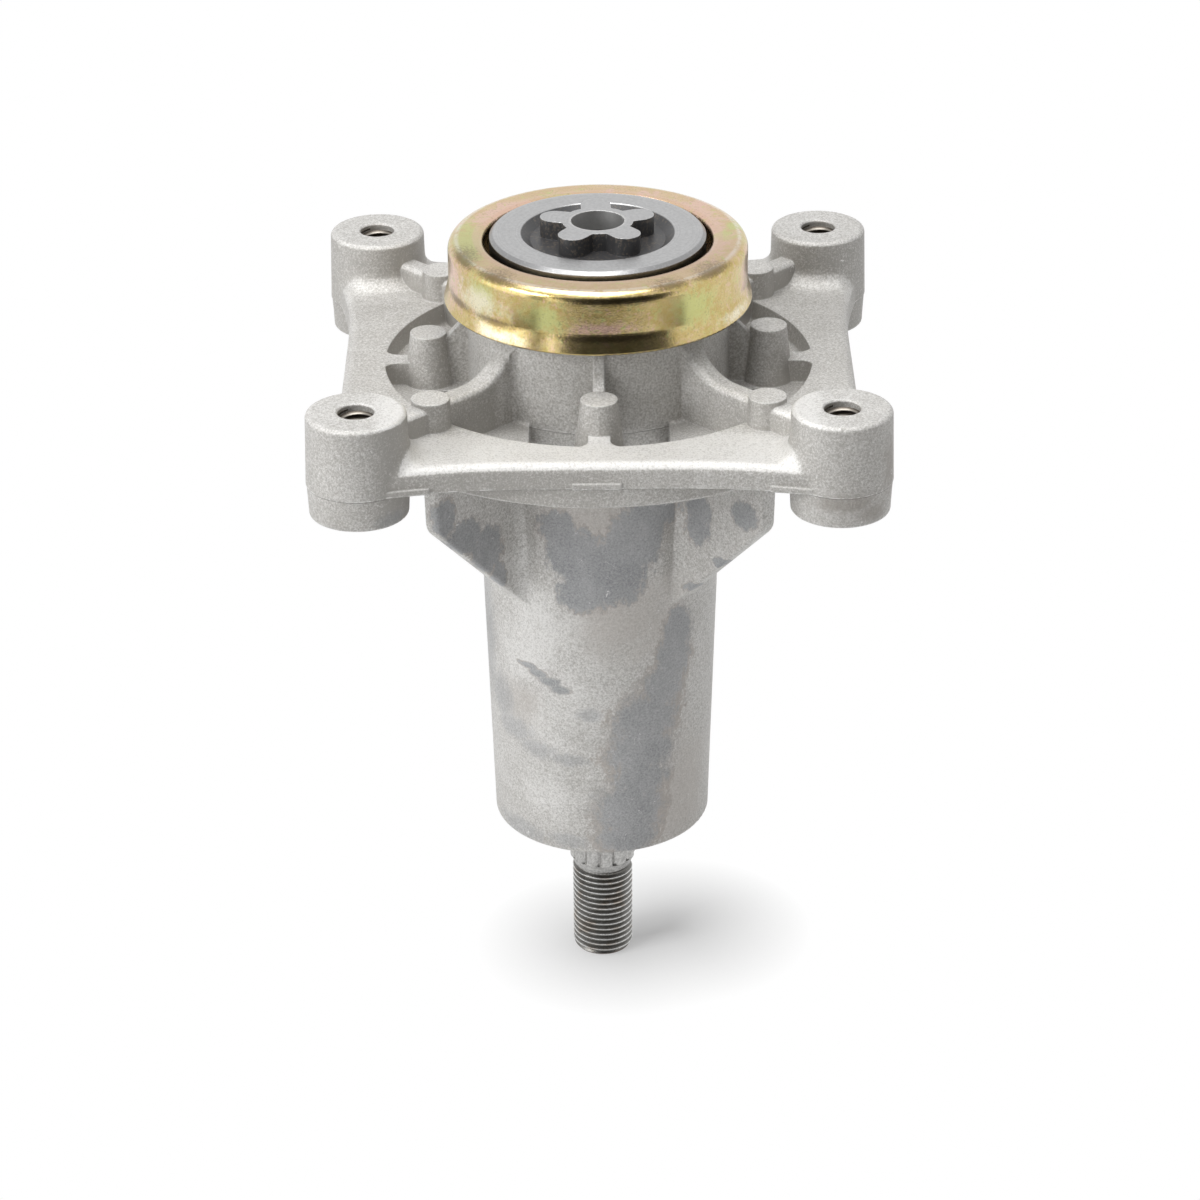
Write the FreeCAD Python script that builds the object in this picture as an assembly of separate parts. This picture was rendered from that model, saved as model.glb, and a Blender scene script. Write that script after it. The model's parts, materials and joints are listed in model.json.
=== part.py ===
import FreeCAD, Part

import math
import os

# Blade spindle of a mower deck, standing with its blade end up.
# Millimetres. The origin is on the spindle axis, in the plane of the four boss faces
# that bear on the deck. The blade end is towards +Z, the pulley end towards -Z.

Vector = FreeCAD.Vector
X_AXIS = Vector(1, 0, 0)
Z_AXIS = Vector(0, 0, 1)
ORIGIN = Vector(0, 0, 0)
DIAGONALS = (45, 135, 225, 315)
SIDES = (0, 90, 180, 270)

# How far a cutter runs past a face, and a fused shape into its neighbour
overrun = 1.0
# Heights closer than this count as the same
same_height = 1e-4

# Bolt bosses of the housing, widest at the parting line
bolt_spacing = 103.5
boss_height = 23.5
boss_r = 11.3
boss_draft = 0.4
boss_edge_round = 1.2
boss_foot_round = 0.6
boss_cove_r = 4.5
bolt_hole_r = 3.97
bolt_hole_chamfer = 0.34

# Plate that joins the bosses, with sides that curve in between them
parting_z = 7.3
parting_inset = 0.15
plate_top_z = 13.0
plate_side_margin = 5.35
plate_side_flat = 15.0
plate_boss_overlap = 1.2
plate_edge_round = 2.2

# Round flange under the plate
flange_drop = 4.9
flange_step = 0.05
flange_draft = 0.2
flange_edge_round = 0.8

# Annular pocket between the neck and the plate's rim
rim_wall = 9.1
pocket_depth = 5.4
pocket_draft = 0.7
pocket_round = 2.0

# Windows in the pocket's floor, two beside each side post
window_outer_r = 38.0
window_half_span = 15.4
window_bridge = 5.4
window_round = 1.5

# Neck around the blade-end bearing
neck_r = 29.0
neck_draft = 0.3
neck_height = 19.6
neck_foot_round = 1.0
neck_edge_chamfer = 1.0

# Barrel down to the pulley-end bearing
barrel_reach = 101.6
barrel_end_r = 25.0
barrel_mid_z = -43.0
barrel_mid_r = 26.85
barrel_root_r = 27.9
barrel_root_round = 4.0
barrel_edge_round = 1.0
barrel_core_r = 16.5

# Diagonal ribs, highest at the neck and level from there to the bosses
rib_width = 5.4
rib_height = 5.6
rib_neck_drop = 7.2
rib_bend_run = 5.8
rib_curve_r = 13.0
rib_crest_round = 1.6
rib_root_round = 1.8

# Round posts on the diagonal ribs and in the middle of each pocket
corner_post_inset = 3.6
corner_post_r = 4.2
corner_post_draft = 0.4
corner_post_height = 6.6
side_post_reach = 9.15
side_post_r = 4.05
side_post_draft = 1.6
side_post_height_right = 7.7
side_post_height_back = 7.0
side_post_height_left = 6.5
side_post_height_front = 6.8

# Thin rib from each side post to the neck, bent where it leaves the neck's cove
thin_rib_width = 2.4
thin_rib_height = 5.7
thin_rib_neck_drop = 4.1
thin_rib_bend_run = 1.4
thin_rib_bend_rise = 4.0

# Rib from each side post to the rim, level with the plate
outer_rib_width = 4.8
outer_rib_flare = 3.0

# Gussets under the plate on the diagonals, sloped at 45 degrees down to the barrel
gusset_width = 4.4
gusset_inset = 4.25
gusset_draft = 0.6
gusset_drop = 15.0
gusset_corner_round = 4.5
gusset_edge_round = 0.8
gusset_root_round = 4.0

# Stubs left at the front parting line where the overflow wells broke off
stub_height = 1.3
stub_proud = 0.5
stub_length = 10.5
stub_boss_offset = 41.6
stub_mid_offset = -0.6

# Sealed ball bearings, both of one size; the balls follow the section between bore and outside
bearing_bore_r = 8.5
bearing_outer_r = 20.0
bearing_width = 12.0
ball_section_share = 0.5867
race_depth_share = 0.3627
ball_count = 8
groove_conformity = 1.03
ball_clearance = 0.03
outer_edge_round = 0.6
bore_edge_round = 0.3
seal_thickness = 0.8
seal_inset = 0.3
seal_groove_depth = 0.9
seal_lip_gap = 0.15
seal_lip_length = 1.2
seal_lip_thickness = 0.48
cage_thickness = 0.6
cage_side_gap = 0.8
cage_ball_gap = 0.12
cage_rivet_r = 0.5
cage_rivet_head_r = 0.9
cage_rivet_head = 0.35
seat_clearance = 0.01
bearing_below_neck = 0.3
pulley_bearing_inset = 1.0

# Spacer sleeve between the two inner rings
sleeve_outer_r = 11.0
sleeve_bore_r = 8.7

# Dust shield, pressed from sheet and clamped between the shaft's head and the blade-end bearing
shield_sheet = 1.2
shield_bore_clearance = 0.2
shield_step = 1.5
shield_step_run = 1.2
shield_head_gap = 1.1
shield_neck_gap = 3.15
shield_rise = 7.4
shield_drop = 6.8
shield_lip_flare = 1.15
shield_lip_height = 4.2
shield_foot_round = 1.0
shield_roll_round = 1.6
shield_corner_round = 2.6
shield_waist_round = 3.0
shield_edge_round = 0.4

# Head of the shaft, with a star that drives the blade
head_r = 24.1
head_thickness = 8.5
head_chamfer_run = 0.75
head_chamfer_drop = 0.9
head_bevel_run = 1.0
head_bevel_drop = 0.14
head_base_round = 0.8
hub_r = 10.8
hub_clearance = 0.3
recess_rim_r = 17.3
recess_slope_run = 2.3
recess_depth = 1.8
star_proud = 2.5
star_hub_r = 7.95
star_lobe_r = 3.35
star_lobe_centre = 9.8
star_lobes = 5
star_angle = 20.5
star_bore_r = 5.94
star_bore_depth = 7.0
blade_thread_r = 4.76
blade_thread_depth = 30.0
drill_point_depth = 2.6

# Spline for the pulley and the core of the thread below it
spline_r = 7.68
spline_above_end = 0.2
spline_lead = 0.6
spline_reach = 13.9
spline_count = 12
spline_angle = -96.2
spline_groove_depth = 0.75
spline_groove_half_width = 1.1
relief_drop = 0.18
relief_r = 6.72
relief_length = 2.1
thread_core_r = 6.3
thread_length = 23.1
thread_end_chamfer = 1.0

# Places that follow from the sizes above
boss_pos = bolt_spacing / 2
boss_places = [(x, y) for x in (-boss_pos, boss_pos) for y in (-boss_pos, boss_pos)]
boss_reach = math.hypot(boss_pos, boss_pos)
plate_side = boss_pos + plate_side_margin
flange_r = plate_side + flange_step
flange_z = parting_z - flange_drop
pocket_rim_r = plate_side - rim_wall
pocket_floor_z = plate_top_z - pocket_depth
neck_top_z = plate_top_z + neck_height
neck_wall_r = (bearing_outer_r + neck_r) / 2
rib_crest_z = plate_top_z + rib_height
corner_post_pos = pocket_rim_r + corner_post_inset
side_post_pos = neck_r + side_post_reach
side_post_heights = dict(zip(SIDES, (side_post_height_right, side_post_height_back,
                                     side_post_height_left, side_post_height_front)))
barrel_end_z = -barrel_reach
ball_circle_r = (bearing_bore_r + bearing_outer_r) / 2
ball_r = (bearing_outer_r - bearing_bore_r) * ball_section_share / 2
land_half_gap = ball_r * (1 - race_depth_share)
inner_land_r = ball_circle_r - land_half_gap
outer_land_r = ball_circle_r + land_half_gap
cage_half_width = land_half_gap - cage_side_gap
blade_bearing_top = neck_top_z - bearing_below_neck
blade_bearing_mid = blade_bearing_top - bearing_width / 2
pulley_bearing_end = barrel_end_z + pulley_bearing_inset
pulley_bearing_mid = pulley_bearing_end + bearing_width / 2
hub_z = blade_bearing_top + shield_sheet
head_base_z = hub_z + shield_step
head_face_z = head_base_z + head_thickness
recess_floor_z = head_face_z - recess_depth
star_top_z = head_face_z + star_proud
shield_top_z = head_base_z + shield_rise
shield_lip_z = head_base_z - shield_drop
shield_r = neck_r + shield_neck_gap + shield_sheet
spline_start_z = barrel_end_z + spline_above_end
spline_end_z = barrel_end_z - spline_reach
thread_start_z = spline_end_z - relief_length
thread_end_z = thread_start_z - thread_length


def rounded_path(corners):
    """Edges of a closed outline in the plane of x and y; a corner is (x, y) or (x, y, radius)."""
    points = [Vector(c[0], c[1], 0) for c in corners]
    radii = [c[2] if len(c) > 2 else 0 for c in corners]
    count = len(points)
    starts = []
    ends = []
    middles = []
    for i in range(count):
        here = points[i]
        if radii[i] == 0:
            starts.append(here)
            ends.append(here)
            middles.append(None)
            continue
        back = (points[i - 1] - here).normalize()
        ahead = (points[(i + 1) % count] - here).normalize()
        half = back.getAngle(ahead) / 2
        reach = radii[i] / math.tan(half)
        bisector = (back + ahead).normalize()
        starts.append(here + back * reach)
        ends.append(here + ahead * reach)
        middles.append(here + bisector * (radii[i] / math.sin(half) - radii[i]))
    edges = []
    for i in range(count):
        if middles[i] is not None:
            edges.append(Part.Arc(starts[i], middles[i], ends[i]).toShape())
        following = starts[(i + 1) % count]
        if (following - ends[i]).Length > same_height:
            edges.append(Part.LineSegment(ends[i], following).toShape())
    return edges


def outline_face(corners):
    """Flat face in the plane of x and y."""
    return Part.Face(Part.Wire(rounded_path(corners)))


def lifted(face, low, high):
    """Solid raised from a flat outline between two heights."""
    face.translate(Vector(0, 0, low))
    return face.extrude(Vector(0, 0, high - low))


def turned(corners):
    """Solid of revolution about Z; a corner is (radius, z) or (radius, z, rounding)."""
    face = outline_face(corners)
    face.rotate(ORIGIN, X_AXIS, 90)
    return face.revolve(ORIGIN, Z_AXIS, 360)


def upright_plate(corners, width):
    """Plate standing on the plane of x and z; a corner is (radius, z) or (radius, z, rounding)."""
    face = outline_face(corners)
    face.rotate(ORIGIN, X_AXIS, 90)
    face.translate(Vector(0, width / 2, 0))
    return face.extrude(Vector(0, -width, 0))


def rim_edges(plate):
    """Edges that lie in the two faces of an upright plate."""
    return [e for e in plate.Edges if e.BoundBox.YLength < same_height]


def rod(radius, low, high, x=0, y=0):
    """Round bar along Z from low to high."""
    return Part.makeCylinder(radius, high - low, Vector(x, y, low))


def taper(low_r, high_r, low, high, x=0, y=0):
    """Tapered round bar along Z."""
    return Part.makeCone(low_r, high_r, high - low, Vector(x, y, low))


def ring(inner_r, outer_r, low, high):
    """Plain tube about Z."""
    return rod(outer_r, low, high).cut(rod(inner_r, low, high))


def spread(shape, angles):
    """Copies of a shape turned about Z."""
    copies = []
    for angle in angles:
        copy = shape.copy()
        copy.rotate(ORIGIN, Z_AXIS, angle)
        copies.append(copy)
    return copies


def evenly(count, first=0):
    """Angles of an evenly spaced pattern."""
    return [first + 360 * i / count for i in range(count)]


def root_flare(width, wall_r, rounding, low, high):
    """Root of an upright plate: a cove on either side, tangent to the plate and a round wall."""
    half = width / 2
    cove_y = half + rounding
    cove_x = math.sqrt((wall_r + rounding) ** 2 - cove_y ** 2)
    share = wall_r / (wall_r + rounding)
    on_wall = Vector(cove_x * share, cove_y * share, 0)
    on_plate = Vector(cove_x, half, 0)
    centre = Vector(cove_x, cove_y, 0)
    towards = ((on_wall + on_plate) * 0.5 - centre).normalize()
    middle = centre + towards * rounding
    inner = Vector((bearing_outer_r + wall_r) / 2, on_wall.y, 0)

    def across(v):
        return Vector(v.x, -v.y, 0)

    edges = [
        Part.LineSegment(across(inner), across(on_wall)).toShape(),
        Part.Arc(across(on_wall), across(middle), across(on_plate)).toShape(),
        Part.LineSegment(across(on_plate), on_plate).toShape(),
        Part.Arc(on_plate, middle, on_wall).toShape(),
        Part.LineSegment(on_wall, inner).toShape(),
        Part.LineSegment(inner, across(inner)).toShape(),
    ]
    return lifted(Part.Face(Part.Wire(edges)), low, high)


def plate_outline(grow):
    """Outline of the plate: flat middles, inward arcs and arcs inside the boss walls, all tangent."""
    corner_r = boss_r - plate_boss_overlap + grow
    side = plate_side + grow
    run = boss_pos - plate_side_flat
    rise = side - boss_pos
    side_arc_r = (run ** 2 + rise ** 2 - corner_r ** 2) / (2 * (corner_r - rise))
    arc_centre = Vector(plate_side_flat, -side - side_arc_r, 0)
    boss_centre = Vector(boss_pos, -boss_pos, 0)
    away = (arc_centre - boss_centre).normalize()
    tangent = boss_centre + away * corner_r
    flat_end = Vector(plate_side_flat, -side, 0)
    half_way = (flat_end + tangent) * 0.5
    arc_middle = arc_centre + (half_way - arc_centre).normalize() * side_arc_r
    corner = boss_centre + Vector(1, -1, 0).normalize() * corner_r

    def mirrored(v):
        return Vector(-v.y, -v.x, 0)

    quarter = [
        Part.LineSegment(Vector(0, -side, 0), flat_end).toShape(),
        Part.Arc(flat_end, arc_middle, tangent).toShape(),
        Part.Arc(tangent, corner, mirrored(tangent)).toShape(),
        Part.Arc(mirrored(tangent), mirrored(arc_middle), mirrored(flat_end)).toShape(),
        Part.LineSegment(mirrored(flat_end), Vector(side, 0, 0)).toShape(),
    ]
    edges = []
    for edge in quarter:
        edges += spread(edge, SIDES)
    return Part.Face(Part.Wire(Part.__sortEdges__(edges)))


def plate_slab(low, high, grow=0):
    """Slab with the plate's outline."""
    return lifted(plate_outline(grow), low, high)


def edges_at(shape, z):
    """Edges that lie wholly in the plane at height z."""
    found = []
    for edge in shape.Edges:
        box = edge.BoundBox
        if abs(box.ZMin - z) < same_height and abs(box.ZMax - z) < same_height:
            found.append(edge)
    return found


def plate_body():
    """Plate with its bosses, flange, barrel, neck blank, annular pocket and the pocket's windows."""
    slab = plate_slab(parting_z, plate_top_z)
    slab = slab.makeFillet(plate_edge_round, edges_at(slab, plate_top_z))
    slab = slab.fuse(boss_posts()).removeSplitter()
    slab = slab.makeFillet(boss_cove_r, boss_roots(slab))
    flange = turned([
        (0, flange_z),
        (flange_r - flange_draft, flange_z, flange_edge_round),
        (flange_r, parting_z + overrun),
        (0, parting_z + overrun),
    ])
    neck_foot_r = neck_r + neck_draft
    neck_blank = rod(neck_foot_r + neck_foot_round, parting_z, neck_top_z)
    clear_z = neck_top_z + overrun
    pocket = turned([
        (neck_foot_r, pocket_floor_z, neck_foot_round),
        (pocket_rim_r - pocket_draft, pocket_floor_z, pocket_round),
        (pocket_rim_r, plate_top_z),
        (pocket_rim_r, clear_z),
        (neck_r - neck_edge_chamfer, clear_z),
        (neck_r - neck_edge_chamfer, neck_top_z),
        (neck_r, neck_top_z - neck_edge_chamfer),
    ])
    return slab.fuse([flange, barrel(), neck_blank]).cut([pocket] + spread(pocket_windows(), SIDES))


def pocket_windows():
    """Two windows through one pocket's floor, beside its post, with the neck's wall running on down."""
    top_z = pocket_floor_z + overrun
    bottom_z = flange_z - barrel_root_round - overrun
    pair = ring(barrel_root_r, window_outer_r, bottom_z, top_z)
    core = taper(barrel_root_r, neck_r + neck_draft, bottom_z, top_z)
    reach = Vector(window_outer_r + overrun, 0, 0)
    band = Part.makeBox(reach.x, 2 * window_half_span, top_z - bottom_z,
                        Vector(0, -window_half_span, bottom_z))
    bridge = Part.makeBox(reach.x, 2 * window_bridge, top_z - bottom_z,
                          Vector(0, -window_bridge, bottom_z))
    pair = pair.cut(core).common(band).cut(bridge)
    middle_r = (barrel_root_r + window_outer_r) / 2
    upright = [e for e in pair.Edges if e.BoundBox.ZLength > top_z - bottom_z - same_height
               and math.hypot(e.Vertexes[0].Point.x, e.Vertexes[0].Point.y) > middle_r]
    return pair.makeFillet(window_round, upright)


def barrel():
    """Barrel below the flange, wider towards the flange where it flares into it."""
    flare_r = barrel_root_r + 2 * barrel_root_round
    return turned([
        (0, barrel_end_z),
        (barrel_end_r, barrel_end_z, barrel_edge_round),
        (barrel_mid_r, barrel_mid_z),
        (barrel_root_r, flange_z, barrel_root_round),
        (flare_r, flange_z),
        (flare_r, flange_z + overrun),
        (0, flange_z + overrun),
    ])


def at_bosses(body):
    """Copies of a shape at the four boss places."""
    shapes = []
    for x, y in boss_places:
        post = body.copy()
        post.translate(Vector(x, y, 0))
        shapes.append(post)
    return shapes


def boss_posts():
    """Upper halves of the four bosses, from the parting line up."""
    return at_bosses(turned([
        (0, parting_z),
        (boss_r, parting_z),
        (boss_r - boss_draft, boss_height, boss_edge_round),
        (0, boss_height),
    ]))


def boss_feet():
    """Lower halves of the four bosses, inset at the parting line and tapering towards the deck."""
    foot_r = boss_r - parting_inset
    return at_bosses(turned([
        (0, 0),
        (foot_r - boss_draft, 0, boss_foot_round),
        (foot_r, parting_z),
        (0, parting_z),
    ]))


def boss_roots(plate):
    """Edges between the plate and the walls of its bosses."""
    roots = []
    for edge in plate.Edges:
        box = edge.BoundBox
        if box.ZMax < parting_z + same_height or box.ZMin > plate_top_z + same_height:
            continue
        walls = [f for f in plate.ancestorsOfType(edge, Part.Face) if "Cone" in f.Surface.TypeId]
        if len(walls) == 1:
            roots.append(edge)
    return roots


def diagonal_rib():
    """Rib from the neck over the corner post to the boss, swept down in a curve at the neck."""
    foot_z = pocket_floor_z - overrun
    neck_z = neck_top_z - rib_neck_drop
    side = [
        (neck_wall_r, foot_z),
        (boss_reach, foot_z),
        (boss_reach, rib_crest_z),
        (neck_r + rib_bend_run, rib_crest_z, rib_curve_r),
        (neck_r, neck_z),
        (neck_wall_r, neck_z),
    ]
    rib = upright_plate(side, rib_width)
    crest = [e for e in rim_edges(rib)
             if e.BoundBox.ZMin > rib_crest_z - same_height and e.BoundBox.XMax > neck_r + same_height]
    rib = rib.makeFillet(rib_crest_round, crest)
    root = root_flare(rib_width, neck_r, rib_root_round, foot_z, neck_top_z)
    return rib.fuse(root.common(upright_plate(side, rib_width + 4 * rib_root_round)))


def corner_post():
    """Round ejector post on the diagonal rib."""
    return taper(corner_post_r + corner_post_draft, corner_post_r, pocket_floor_z - overrun,
                 plate_top_z + corner_post_height, corner_post_pos)


def side_post(angle):
    """Round post in the middle of one pocket, with the thin rib that ties it to the neck."""
    foot_z = pocket_floor_z - overrun
    post = taper(side_post_r + side_post_draft, side_post_r, foot_z,
                 plate_top_z + side_post_heights[angle], side_post_pos)
    neck_z = neck_top_z - thin_rib_neck_drop
    bend_r = neck_r + thin_rib_bend_run
    meet_r = side_post_pos - side_post_r
    meet_z = plate_top_z + thin_rib_height
    fall = thin_rib_bend_rise / (meet_r - bend_r)
    end_r = meet_r + overrun
    thin_rib = upright_plate([
        (neck_wall_r, foot_z),
        (end_r, foot_z),
        (end_r, meet_z - overrun * fall),
        (bend_r, meet_z + thin_rib_bend_rise),
        (neck_r, neck_z),
        (neck_wall_r, neck_z),
    ], thin_rib_width)
    whole = post.fuse(thin_rib)
    whole.rotate(ORIGIN, Z_AXIS, angle)
    return whole


def outer_rib():
    """Rib from the side post to the rim, level with the plate and flared where it joins."""
    half = outer_rib_width / 2
    flare_y = half + outer_rib_flare
    wall_r = pocket_rim_r + overrun
    face = outline_face([
        (side_post_pos, -half),
        (pocket_rim_r, -half, outer_rib_flare),
        (pocket_rim_r, -flare_y),
        (wall_r, -flare_y),
        (wall_r, flare_y),
        (pocket_rim_r, flare_y),
        (pocket_rim_r, half, outer_rib_flare),
        (side_post_pos, half),
    ])
    return lifted(face, pocket_floor_z - overrun, plate_top_z)


def gusset():
    """Triangular gusset under the flange, on a diagonal, with coves at the barrel."""
    top_z = flange_z + overrun
    top_r = flange_r - gusset_inset
    corner_r = top_r - gusset_draft
    corner_z = flange_z - gusset_drop
    wall_r = (bearing_outer_r + barrel_end_r) / 2
    foot_z = corner_z - (corner_r - wall_r)
    side = [
        (wall_r, top_z),
        (top_r, top_z),
        (corner_r, corner_z, gusset_corner_round),
        (wall_r, foot_z),
    ]
    plate = upright_plate(side, gusset_width)
    rim = [e for e in rim_edges(plate)
           if e.BoundBox.XMax > wall_r + same_height and e.BoundBox.ZMin < flange_z]
    plate = plate.makeFillet(gusset_edge_round, rim)
    root = root_flare(gusset_width, barrel_mid_r, gusset_root_round, foot_z, top_z)
    return plate.fuse(root.common(upright_plate(side, gusset_width + 4 * gusset_root_round)))


def stubs():
    """Broken-off stubs on the front parting line, one in the middle and one at each boss."""
    top_z = parting_z + stub_height
    band = plate_slab(parting_z, top_z, stub_proud)
    front_y = -(boss_pos + boss_r + stub_proud)
    shapes = []
    for middle in (-stub_boss_offset, stub_mid_offset, stub_boss_offset):
        corner = Vector(middle - stub_length / 2, front_y, parting_z)
        block = Part.makeBox(stub_length, -pocket_rim_r - front_y, stub_height, corner)
        shapes.append(band.common(block))
    return shapes


def housing():
    """Die-cast housing, bored for the two bearings and drilled at the four bosses."""
    added = boss_feet()
    added += spread(diagonal_rib(), DIAGONALS)
    added += spread(corner_post(), DIAGONALS)
    added += [side_post(angle) for angle in SIDES]
    added += spread(outer_rib(), SIDES)
    added += spread(gusset(), DIAGONALS)
    added += stubs()
    body = plate_body().fuse(added).removeSplitter()
    seat_r = bearing_outer_r + seat_clearance
    cuts = [
        rod(barrel_core_r, barrel_end_z - overrun, neck_top_z + overrun),
        rod(seat_r, blade_bearing_top - bearing_width, neck_top_z + overrun),
        rod(seat_r, barrel_end_z - overrun, pulley_bearing_end + bearing_width),
    ]
    for x, y in boss_places:
        cuts.append(rod(bolt_hole_r, -overrun, boss_height + overrun, x, y))
        cuts.append(taper(bolt_hole_r, bolt_hole_r + 2 * bolt_hole_chamfer,
                          boss_height - bolt_hole_chamfer, boss_height + bolt_hole_chamfer, x, y))
    return body.cut(cuts)


def star():
    """Star that drives the blade: a hub with round lobes."""
    foot_z = recess_floor_z - overrun
    hub = rod(star_hub_r, foot_z, star_top_z)
    tip = rod(star_lobe_r, foot_z, star_top_z, star_lobe_centre)
    arm = Part.makeBox(star_lobe_centre, 2 * star_lobe_r, star_top_z - foot_z,
                       Vector(0, -star_lobe_r, foot_z))
    lobe = tip.fuse(arm).removeSplitter()
    return hub.fuse(spread(lobe, evenly(star_lobes, star_angle))).removeSplitter()


def shaft():
    """Forged shaft: star head, bearing seats, spline and threaded end."""
    seat_r = bearing_bore_r - seat_clearance
    body = turned([
        (0, thread_end_z),
        (thread_core_r - thread_end_chamfer, thread_end_z),
        (thread_core_r, thread_end_z + thread_end_chamfer),
        (thread_core_r, thread_start_z),
        (relief_r, thread_start_z),
        (spline_r - relief_drop, spline_end_z),
        (spline_r, spline_end_z),
        (spline_r, spline_start_z),
        (seat_r, spline_start_z + spline_lead),
        (seat_r, hub_z),
        (hub_r, hub_z),
        (hub_r, head_base_z),
        (head_r, head_base_z, head_base_round),
        (head_r, head_face_z - head_chamfer_drop),
        (head_r - head_chamfer_run, head_face_z - head_bevel_drop),
        (head_r - head_chamfer_run - head_bevel_run, head_face_z),
        (recess_rim_r, head_face_z),
        (recess_rim_r - recess_slope_run, recess_floor_z),
        (0, recess_floor_z),
    ])
    body = body.fuse(star())
    bore_end_z = star_top_z - star_bore_depth
    tap_end_z = bore_end_z - blade_thread_depth
    root_r = spline_r - spline_groove_depth
    brim_r = spline_r + overrun
    brim_y = spline_groove_half_width * (brim_r - root_r) / spline_groove_depth
    groove = lifted(outline_face([(root_r, 0), (brim_r, -brim_y), (brim_r, brim_y)]),
                    spline_end_z, spline_start_z + spline_lead / 2)
    cuts = [
        rod(star_bore_r, bore_end_z, star_top_z + overrun),
        rod(blade_thread_r, tap_end_z, bore_end_z + overrun),
        taper(0, blade_thread_r, tap_end_z - drill_point_depth, tap_end_z),
    ]
    return body.cut(cuts + spread(groove, evenly(spline_count, spline_angle)))


def dust_shield():
    """Pressed shield: stepped centre, well under the head, rolled rim, skirt and turned-out lip."""
    t = shield_sheet
    low_z = blade_bearing_top
    base_z = head_base_z - t
    bore_r = bearing_bore_r + shield_bore_clearance
    step_r = hub_r + hub_clearance
    # A bent sheet's far face turns this much further out than its near face
    step_shift = t * math.tan(math.atan2(shield_step, shield_step_run) / 2)
    well_r = head_r + shield_head_gap
    skirt_r = shield_r - t
    lip_r = shield_r + shield_lip_flare
    lip_top_z = shield_lip_z + shield_lip_height
    return turned([
        (bore_r, low_z),
        (step_r + step_shift, low_z),
        (step_r + step_shift + shield_step_run, base_z),
        (well_r + t, base_z, shield_foot_round),
        (well_r + t, shield_top_z - t, shield_roll_round - t),
        (skirt_r, shield_top_z - t, shield_corner_round - t),
        (skirt_r, lip_top_z, shield_waist_round),
        (lip_r - t, shield_lip_z),
        (lip_r, shield_lip_z, shield_edge_round),
        (shield_r, lip_top_z, shield_waist_round),
        (shield_r, shield_top_z, shield_corner_round),
        (well_r, shield_top_z, shield_roll_round),
        (well_r, head_base_z),
        (step_r + shield_step_run, head_base_z),
        (step_r, hub_z),
        (bore_r, hub_z),
    ])


def sleeve():
    """Spacer sleeve between the inner rings of the two bearings."""
    low = pulley_bearing_end + bearing_width
    high = blade_bearing_top - bearing_width
    return ring(sleeve_bore_r, sleeve_outer_r, low, high)


def race(middle):
    """Torus in which the balls of a bearing run."""
    return Part.makeTorus(ball_circle_r, ball_r * groove_conformity + ball_clearance,
                          Vector(0, 0, middle))


def outer_ring(middle):
    """Outer ring with its raceway and the two grooves that hold the seals."""
    low = middle - bearing_width / 2
    high = middle + bearing_width / 2
    body = turned([
        (outer_land_r, low),
        (bearing_outer_r, low, outer_edge_round),
        (bearing_outer_r, high, outer_edge_round),
        (outer_land_r, high),
    ])
    cutter_r = inner_land_r
    groove_r = outer_land_r + seal_groove_depth
    groove_depth = seal_inset + seal_thickness
    lower_groove = ring(cutter_r, groove_r, low - overrun, low + groove_depth)
    upper_groove = ring(cutter_r, groove_r, high - groove_depth, high + overrun)
    return body.cut([race(middle), lower_groove, upper_groove])


def inner_ring(middle):
    """Inner ring with its raceway."""
    low = middle - bearing_width / 2
    high = middle + bearing_width / 2
    body = turned([
        (bearing_bore_r, low, bore_edge_round),
        (inner_land_r, low),
        (inner_land_r, high),
        (bearing_bore_r, high, bore_edge_round),
    ])
    return body.cut(race(middle))


def balls(middle):
    """The balls of one bearing."""
    ball = Part.makeSphere(ball_r, Vector(ball_circle_r, 0, middle))
    return Part.makeCompound(spread(ball, evenly(ball_count)))


def cage_half(middle, up):
    """Half of the pressed cage: a flat ribbon with a round pocket over each ball."""
    inner_r = ball_circle_r - cage_half_width
    outer_r = ball_circle_r + cage_half_width
    pocket_r = ball_r + cage_ball_gap
    shell_r = pocket_r + cage_thickness
    band = ring(inner_r, outer_r, 0, cage_thickness)
    space = ring(inner_r, outer_r, 0, shell_r)
    shell = Part.makeSphere(shell_r, Vector(ball_circle_r, 0, 0)).common(space)
    hollow = Part.makeSphere(pocket_r, Vector(ball_circle_r, 0, 0))
    rivet_hole = rod(cage_rivet_r, -overrun, cage_thickness + overrun, ball_circle_r)
    hollows = spread(hollow, evenly(ball_count))
    hollows += spread(rivet_hole, evenly(ball_count, 180 / ball_count))
    half = band.fuse(spread(shell, evenly(ball_count))).cut(hollows)
    if not up:
        half = half.mirror(ORIGIN, Z_AXIS)
    half.translate(Vector(0, 0, middle))
    return half


def cage_rivets(middle):
    """Rivets that join the two halves of a cage between the balls."""
    reach = cage_thickness + cage_rivet_head
    rivet = turned([
        (0, -reach),
        (cage_rivet_head_r, -reach),
        (cage_rivet_head_r, -cage_thickness),
        (cage_rivet_r, -cage_thickness),
        (cage_rivet_r, cage_thickness),
        (cage_rivet_head_r, cage_thickness),
        (cage_rivet_head_r, reach),
        (0, reach),
    ])
    rivet.translate(Vector(ball_circle_r, 0, middle))
    return Part.makeCompound(spread(rivet, evenly(ball_count, 180 / ball_count)))


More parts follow.
